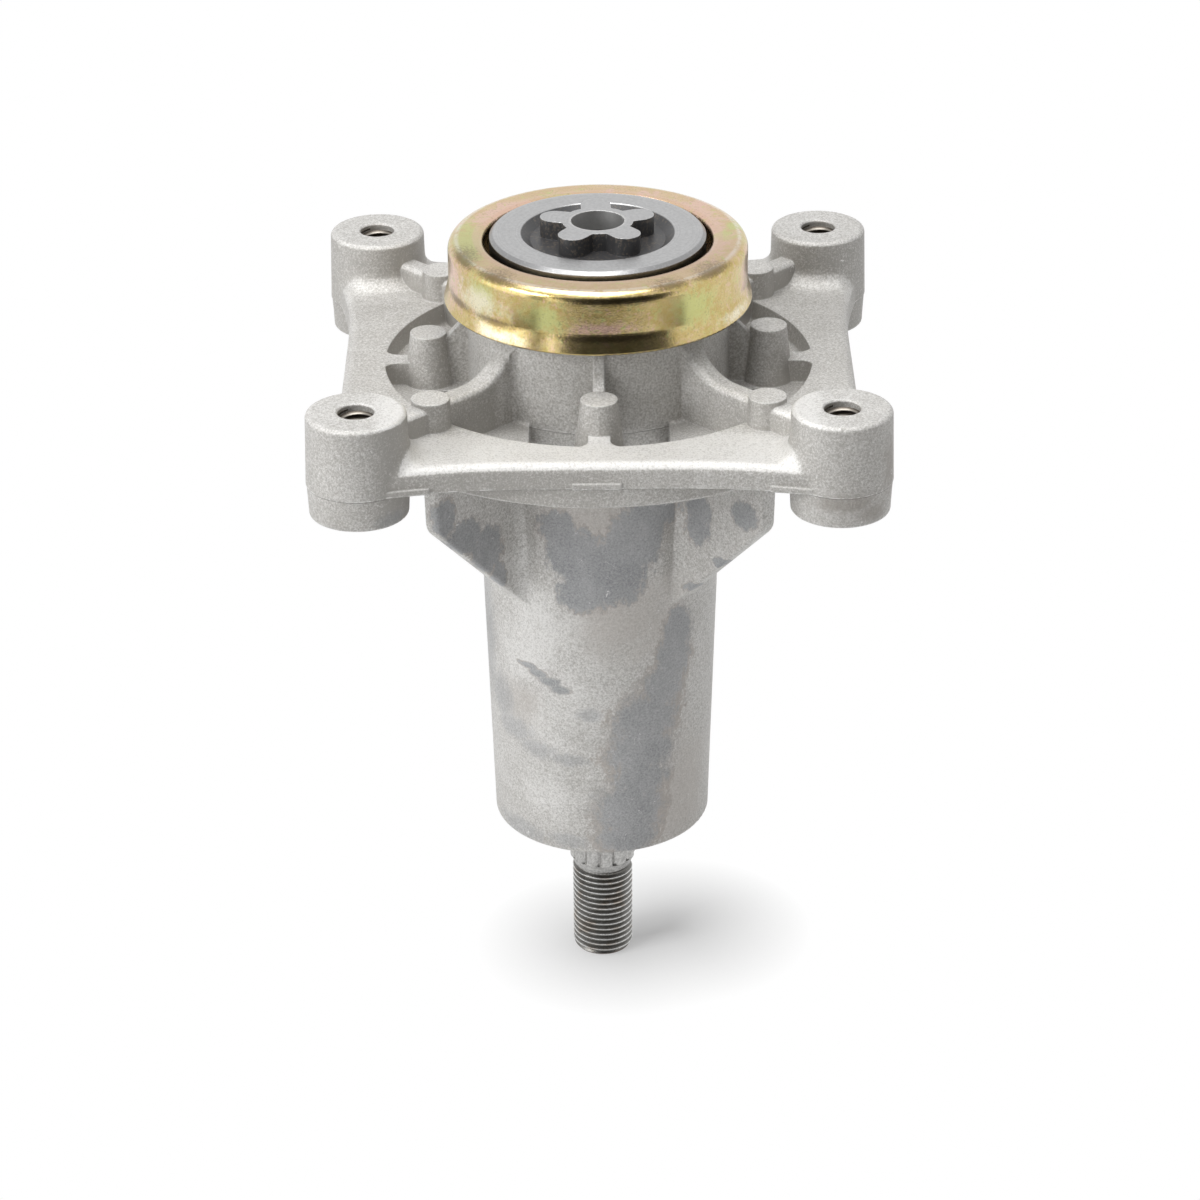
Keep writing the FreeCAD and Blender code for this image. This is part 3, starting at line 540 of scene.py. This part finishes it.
def turned_shaft():
    finish = Finish.named("turned_and_blacked_shaft")
    place = finish.place_mm()
    z = finish.parts(place)[2]
    radius = finish.axis_distance(place)
    rings = finish.noise(finish.joined(radius), 3.2, 3.0, 0.7)
    grain = finish.noise(place, 1.6, 4.0, 0.65)
    cloud = finish.noise(place, 0.14, 3.0, 0.6)
    level = finish.band(finish.parts(finish.facing())[2], 0.8, 0.97)
    head_zone = finish.band(z, recess_floor_mm - 0.3, recess_floor_mm - 0.1)
    in_bore = finish.band(radius, star_bore_r_mm + 0.6, star_bore_r_mm + 0.3)
    black = blacked_share(finish, z, radius, level, in_bore, head_zone)
    near_top = finish.band(z, star_top_mm - 1.6, star_top_mm - 0.2)
    scuff = finish.band(grain * 0.7 + cloud * 0.3 + near_top * 0.05, 0.52, 0.62)
    low_part = finish.band(z, -90.0, -100.0)
    bright = finish.mix(finish.band(grain * 0.5 + rings * 0.5, 0.36, 0.64), STEEL_GREY, STEEL)
    dull = finish.mix(finish.band(grain, 0.35, 0.65), SPLINE_GREY, SPLINE_LIGHT)
    # Painted shade on the head's outer slope
    slope = finish.band(radius, recess_rim_r_mm + 1.0, recess_rim_r_mm + 2.0) * (1 - level)
    bright = finish.mix(slope * finish.band(grain, 0.3, 0.5) * 0.8, bright, SLOPE_SHADE)
    colour = finish.mix(low_part, bright, dull)
    # Painted light in the star's bore, patchy with the turned rings
    colour = finish.mix(in_bore * head_zone * finish.band(rings, 0.3, 0.7), colour, SPLINE_LIGHT)
    oxide = finish.mix(scuff * 0.6, BLACK_OXIDE, OXIDE_SCUFF)
    colour = finish.mix(black, colour, oxide)
    worn = finish.worn_edges(0.35) * head_zone * finish.band(grain, 0.4, 0.55)
    colour = finish.mix(worn * near_top * 0.6, colour, STEEL_BARE)
    metal = 1 - black * 0.9
    rough = 0.26 + cloud * 0.08 + low_part * 0.1 + in_bore * head_zone * 0.2 + black * (0.04 + grain * 0.15)
    normal = finish.soft_edges(0.25)
    normal = finish.bump(rings * level, 0.5, 0.04, normal)
    normal = finish.bump(grain, 0.2, 0.03, normal)
    return finish.surface(Base_Color=colour, Metallic=metal, Roughness=rough, Normal=normal)


# Thread steel, oiled and brown with rust here and there, darker brown at its end and with painted shade in
# its roots, and the alloy of the tapped holes painted dark as shade
THREAD_GREY = (0.52, 0.52, 0.515)
THREAD_BRIGHT = (0.80, 0.80, 0.79)
THREAD_BROWN = (0.56, 0.42, 0.30)
THREAD_ROOT_SHADE = (0.085, 0.08, 0.07)
THREAD_END_BROWN = (0.17, 0.105, 0.07)
TAPPED_SHADE_DARK = (0.20, 0.18, 0.155)
TAPPED_SHADE_LIGHT = (0.36, 0.335, 0.30)
TAPPED_ROOT_SHADE = (0.05, 0.04, 0.03)


def thread_steel():
    finish = Finish.named("oiled_thread_steel")
    place = finish.place_mm()
    z = finish.parts(place)[2]
    radius = finish.axis_distance(place)
    grain = finish.noise(place, 1.8, 4.0, 0.65)
    cloud = finish.noise(place, 0.25, 3.0, 0.6)
    root = finish.band(radius, thread_crest_r_mm - 0.03, thread_crest_r_mm - 0.26)
    colour = finish.mix(finish.band(grain, 0.3, 0.7), THREAD_GREY, THREAD_BRIGHT)
    colour = finish.mix(finish.band(cloud, 0.5, 0.65) * 0.4, colour, THREAD_BROWN)
    # Painted shade in the thread's roots
    colour = finish.mix(root * (0.72 + cloud * 0.25), colour, THREAD_ROOT_SHADE)
    # Darker brown at the thread's end
    end_band = finish.band(z, shaft_end_mm + 0.9, shaft_end_mm + 0.3)
    colour = finish.mix(end_band * 0.8, colour, THREAD_END_BROWN)
    rough = 0.15 + grain * 0.1 + root * 0.14
    normal = finish.bump(grain, 0.18, 0.03)
    return finish.surface(Base_Color=colour, Metallic=1.0, Roughness=rough, Normal=normal)


def shaded_tapped_casting():
    finish = Finish.named("shaded_tapped_casting")
    place = finish.place_mm()
    grain = finish.noise(place, 1.5, 3.0, 0.6)
    radius = finish.axis_distance(place)
    root = finish.band(radius, 3.5, 3.8)
    # Painted shade in the holes: the alloy much darker than the casting, darkest in the thread's roots
    colour = finish.mix(grain, TAPPED_SHADE_DARK, TAPPED_SHADE_LIGHT)
    colour = finish.mix(root * 0.85, colour, TAPPED_ROOT_SHADE)
    normal = finish.bump(grain, 0.2, 0.03)
    return finish.surface(Base_Color=colour, Metallic=0.9, Roughness=0.3 + grain * 0.15, Normal=normal)


# Bearings: ground rings and balls, pressed cages, black rubber seals
RING_GREY = (0.55, 0.55, 0.56)
RING_BRIGHT = (0.66, 0.66, 0.67)
CAGE_GREY = (0.42, 0.40, 0.37)
CAGE_BRIGHT = (0.60, 0.585, 0.56)
RUBBER = (0.018, 0.018, 0.02)
RUBBER_DUST = (0.06, 0.057, 0.052)


def ground_bearing_steel():
    finish = Finish.named("ground_bearing_steel")
    place = finish.place_mm()
    z = finish.parts(place)[2]
    radius = finish.axis_distance(place)
    rings = finish.noise(finish.joined(radius, z), 4.0, 3.0, 0.7)
    cloud = finish.noise(place, 0.3, 3.0, 0.6)
    colour = finish.mix(cloud, RING_GREY, RING_BRIGHT)
    normal = finish.bump(rings, 0.12, 0.02)
    return finish.surface(Base_Color=colour, Metallic=1.0, Roughness=0.16 + cloud * 0.1, Normal=normal)


def pressed_cage_steel():
    finish = Finish.named("pressed_cage_steel")
    place = finish.place_mm()
    grain = finish.noise(place, 1.2, 4.0, 0.65)
    colour = finish.mix(grain, CAGE_GREY, CAGE_BRIGHT)
    normal = finish.bump(grain, 0.2, 0.03)
    return finish.surface(Base_Color=colour, Metallic=1.0, Roughness=0.3 + grain * 0.15, Normal=normal)


def seal_rubber():
    finish = Finish.named("moulded_seal_rubber")
    place = finish.place_mm()
    radius = finish.axis_distance(place)
    dust = finish.noise(place, 0.5, 5.0, 0.7)
    ridges = finish.noise(finish.joined(radius), 1.6, 1.0, 0.5)
    colour = finish.mix(finish.band(dust, 0.5, 0.75), RUBBER, RUBBER_DUST)
    normal = finish.bump(ridges, 0.3, 0.08)
    return finish.surface(Base_Color=colour, Roughness=0.55 + dust * 0.2, Normal=normal)


def dress(node, material):
    """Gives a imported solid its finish."""
    piece = frame["nodes"][node]
    piece.data.materials.clear()
    piece.data.materials.append(material)


def dress_all():
    casting = blasted_casting()
    sheet = passivated_sheet()
    shaft = turned_shaft()
    rings = ground_bearing_steel()
    cages = pressed_cage_steel()
    rubber = seal_rubber()
    dress("spindle_housing", casting)
    dress("dust_shield", sheet)
    dress("spindle_shaft", shaft)
    dress("spacer_sleeve", rings)
    for end in ("blade", "pulley"):
        for part in ("outer_ring", "inner_ring", "balls"):
            dress(f"{end}_bearing_{part}", rings)
        for part in ("cage_upper", "cage_lower", "cage_rivets"):
            dress(f"{end}_bearing_{part}", cages)
        for part in ("seal_upper", "seal_lower"):
            dress(f"{end}_bearing_{part}", rubber)


# Threads: a ridge wound on the solid's plain cylinder, as one closed tube
STEPS_ROUND = 96
# Share of the pitch and share of the depth of each corner of one turn
THREAD_FORM = [(0.0, 1.0), (0.045, 0.97), (0.30, 0.12), (0.37, 0.0), (0.58, 0.0), (0.65, 0.12),
               (0.90, 0.97), (0.945, 1.0)]


def thread_mesh(name, hidden_r, root_r, crest_r, low, high, pitch, lead_low, lead_high):
    """Thread between two heights, in millimetres. Over its leads it sinks to the hidden radius."""
    mesh = bpy.data.meshes.new(name)
    shell = bmesh.new()
    turns = int((high - low) / pitch) + 3
    rows = [(turn + share, depth) for turn in range(turns) for share, depth in THREAD_FORM]
    grid = []
    for along, depth in rows:
        row = []
        for step in range(STEPS_ROUND + 1):
            angle = 2 * math.pi * step / STEPS_ROUND
            height = low + pitch * (along - 1 - step / STEPS_ROUND)
            fade = max(0.0, min(1.0, (height - low) / lead_low, (high - height) / lead_high))
            height = min(high, max(low, height))
            radius = root_r + (crest_r - root_r) * depth
            radius = hidden_r + (radius - hidden_r) * fade
            spot = Vector((radius * math.cos(angle), radius * math.sin(angle), height)) * MM
            row.append(shell.verts.new(spot))
        grid.append(row)
    for first, second in zip(grid, grid[1:]):
        for step in range(STEPS_ROUND):
            shell.faces.new((first[step], first[step + 1], second[step + 1], second[step]))
    bmesh.ops.remove_doubles(shell, verts=shell.verts, dist=2e-6)
    bmesh.ops.dissolve_degenerate(shell, edges=shell.edges, dist=1e-7)
    rims = [e for e in shell.edges if len(e.link_faces) == 1]
    bmesh.ops.bridge_loops(shell, edges=rims)
    bmesh.ops.recalc_face_normals(shell, faces=shell.faces)
    for face in shell.faces:
        face.smooth = True
    shell.to_mesh(mesh)
    shell.free()
    mesh.set_sharp_from_angle(angle=math.radians(28))
    return mesh


def add_piece(name, mesh, material, body, place=(0, 0, 0)):
    """Puts a mesh in the scene as a piece of one body."""
    piece = bpy.data.objects.new(name, mesh)
    bpy.context.scene.collection.objects.link(piece)
    piece.location = place
    if not mesh.materials:
        mesh.materials.append(material)
    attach(piece, body)


def cut_threads():
    pulley = thread_mesh("pulley_end_thread", hidden_r=6.2, root_r=6.33, crest_r=thread_crest_r_mm,
                         low=shaft_end_mm + 0.3, high=thread_top_mm, pitch=thread_pitch_mm,
                         lead_low=1.1, lead_high=0.9)
    add_piece("pulley_end_thread", pulley, thread_steel(), "shaft")
    blade = thread_mesh("blade_bolt_thread", hidden_r=4.85, root_r=4.74, crest_r=4.1, low=9.5, high=38.6,
                        pitch=1.588, lead_low=1.0, lead_high=1.0)
    add_piece("blade_bolt_thread", blade, thread_steel(), "shaft")
    boss = thread_mesh("boss_thread", hidden_r=4.05, root_r=3.95, crest_r=3.3, low=0.5,
                       high=boss_height_mm - 0.9, pitch=thread_pitch_mm, lead_low=1.0, lead_high=1.0)
    tapped = shaded_tapped_casting()
    corners = [(-1, -1), (1, -1), (1, 1), (-1, 1)]
    for number, (side_x, side_y) in enumerate(corners, 1):
        place = Vector((side_x * boss_pos_mm, side_y * boss_pos_mm, 0)) * MM
        add_piece(f"boss_thread_{number}", boss, tapped, "housing", place)


# Studio: a white floor that keeps a soft shadow, a white surround, cards for the mirrors and soft lamps
WHITE = (1.0, 1.0, 1.0, 1.0)
PAPER = (0.8, 0.8, 0.8, 1.0)
FLOOR_SIZE = 6.0
SURROUND_LIGHT = 0.17
# Place on the floor, right of the shaft's end, where its shadow is deepest, the way it runs, how far it
# reaches and how much of it the paper keeps
SHADOW_PLACE = (0.010, 0.003)
SHADOW_ALONG = (0.93, 0.37)
SHADOW_HALF_LENGTH = 0.007
SHADOW_REACH = 0.034
SHADOW_DEPTH = 0.66
# Cards that only mirrors see, as the room before a photographer's table: tone and corners of each
CARDS = {
    "card_room_front": (
        0.05, [(-0.5, -1.3, -0.13), (1.3, -1.0, -0.13), (1.2, -0.75, 0.7), (-0.9, -0.9, 0.7)]),
    "card_left_stand": (
        0.08, [(-0.62, -0.5, -0.12), (-0.5, -0.62, -0.12), (-0.6, -0.75, 0.4), (-0.75, -0.6, 0.4)]),
    "card_right_stand": (
        0.08, [(0.5, -0.62, -0.12), (0.62, -0.5, -0.12), (0.75, -0.6, 0.4), (0.6, -0.75, 0.4)]),
    "card_table_near": (
        0.85, [(-0.3, -0.42, -0.13), (0.3, -0.42, -0.13), (0.3, -0.3, -0.13), (-0.3, -0.3, -0.13)]),
    "card_left_glow": (
        1.7, [(-1.1, 0.1, -0.12), (-0.55, -1.0, -0.12), (-0.55, -1.0, 0.35), (-1.1, 0.1, 0.35)]),
    "card_table_far": (
        0.05, [(-0.3, -1.2, -0.13), (0.9, -0.9, -0.13), (0.4, -0.42, -0.13), (-0.25, -0.42, -0.13)]),
}


def stage_sheet(name, corners, material):
    """A four-cornered sheet that belongs to the studio."""
    mesh = bpy.data.meshes.new(name)
    mesh.from_pydata(corners, [], [(0, 1, 2, 3)])
    mesh.materials.append(material)
    sheet = bpy.data.objects.new(name, mesh)
    bpy.context.scene.collection.objects.link(sheet)
    return sheet


def white_floor():
    """White paper. Away from the shaft's end it is seen as pure white; close by it keeps the shadow."""
    finish = Finish.named("white_floor")
    place = finish.node("ShaderNodeTexCoord", {}, {}, "Object")
    places = finish.parts(place)
    x = places[0] - SHADOW_PLACE[0]
    y = places[1] - SHADOW_PLACE[1]
    along = x * SHADOW_ALONG[0] + y * SHADOW_ALONG[1]
    across = x * SHADOW_ALONG[1] - y * SHADOW_ALONG[0]
    beyond = (abs(along) - SHADOW_HALF_LENGTH).most(0.0)
    away = (across * across + beyond * beyond) ** 0.5
    white = 1 - finish.band(away, SHADOW_REACH, 0.0, smooth=False) * SHADOW_DEPTH
    paper = finish.node("ShaderNodeBsdfDiffuse", {}, {"Color": PAPER})
    glow = finish.node("ShaderNodeEmission", {}, {"Color": WHITE, "Strength": 1.0})
    ground = finish.node("ShaderNodeMixShader", {}, {0: white * finish.seen(), 1: paper, 2: glow})
    finish.node("ShaderNodeOutputMaterial", {}, {"Surface": ground})
    half = FLOOR_SIZE / 2
    low = shaft_low.z
    corners = [(-half, -half, low), (half, -half, low), (half, half, low), (-half, half, low)]
    stage_sheet("studio_floor", corners, finish.owner)


def white_surround():
    world = bpy.data.worlds.new("studio_surround")
    bpy.context.scene.world = world
    finish = Finish(world)
    light = finish.node("ShaderNodeBackground", {}, {"Color": WHITE, "Strength": SURROUND_LIGHT})
    white = finish.node("ShaderNodeBackground", {}, {"Color": WHITE, "Strength": 1.0})
    both = finish.node("ShaderNodeMixShader", {}, {0: finish.seen(), 1: light, 2: white})
    finish.node("ShaderNodeOutputWorld", {}, {"Surface": both})


def mirror_cards():
    for name, (tone, corners) in CARDS.items():
        finish = Finish.named(name)
        glow = finish.node("ShaderNodeEmission", {}, {"Color": WHITE, "Strength": tone})
        finish.node("ShaderNodeOutputMaterial", {}, {"Surface": glow})
        card = stage_sheet(name, corners, finish.owner)
        card.visible_camera = False
        card.visible_diffuse = False
        card.visible_transmission = False
        card.visible_volume_scatter = False
        card.visible_shadow = False


def soft_lamp(name, place, target, size, watts):
    data = bpy.data.lights.new(name, "AREA")
    data.shape = "RECTANGLE"
    data.size, data.size_y = size
    data.energy = watts
    lamp = bpy.data.objects.new(name, data)
    lamp.location = place
    lamp.rotation_euler = (Vector(target) - Vector(place)).to_track_quat("-Z", "Y").to_euler()
    bpy.context.scene.collection.objects.link(lamp)


def studio_lamps():
    soft_lamp("lamp_overhead", place=(-0.1, -0.15, 1.1), target=(0, 0, 0), size=(1.0, 0.75), watts=10.8)
    soft_lamp("lamp_front_left", place=(-1.1, -0.75, 0.62), target=(0, 0, -0.03), size=(0.7, 0.7), watts=11.0)


# Camera: long lens, looking down on the spindle, turned a little about its own line of sight (radians)
CAMERA_PLACE = Vector((-0.13, -859.27, 387.64)) * MM
CAMERA_DOWN = 0.469388
CAMERA_ROLL = 0.007927
CAMERA_LENS = 124.85
SENSOR = 36.0


def photo_camera():
    data = bpy.data.cameras.new("photo_camera")
    data.sensor_width = SENSOR
    data.lens = CAMERA_LENS
    data.clip_start = 0.01
    data.clip_end = 50.0
    camera = bpy.data.objects.new("photo_camera", data)
    ahead = Vector((0, math.cos(CAMERA_DOWN), -math.sin(CAMERA_DOWN)))
    level_right = Vector((1, 0, 0))
    level_up = level_right.cross(ahead)
    right = level_right * math.cos(CAMERA_ROLL) - level_up * math.sin(CAMERA_ROLL)
    up = level_right * math.sin(CAMERA_ROLL) + level_up * math.cos(CAMERA_ROLL)
    turn = Matrix((right, up, -ahead)).transposed()
    camera.matrix_world = Matrix.Translation(CAMERA_PLACE) @ turn.to_4x4()
    bpy.context.scene.collection.objects.link(camera)
    bpy.context.scene.camera = camera


dress_all()
cut_threads()
white_floor()
white_surround()
mirror_cards()
studio_lamps()
photo_camera()
bpy.context.scene.view_settings.view_transform = "Standard"
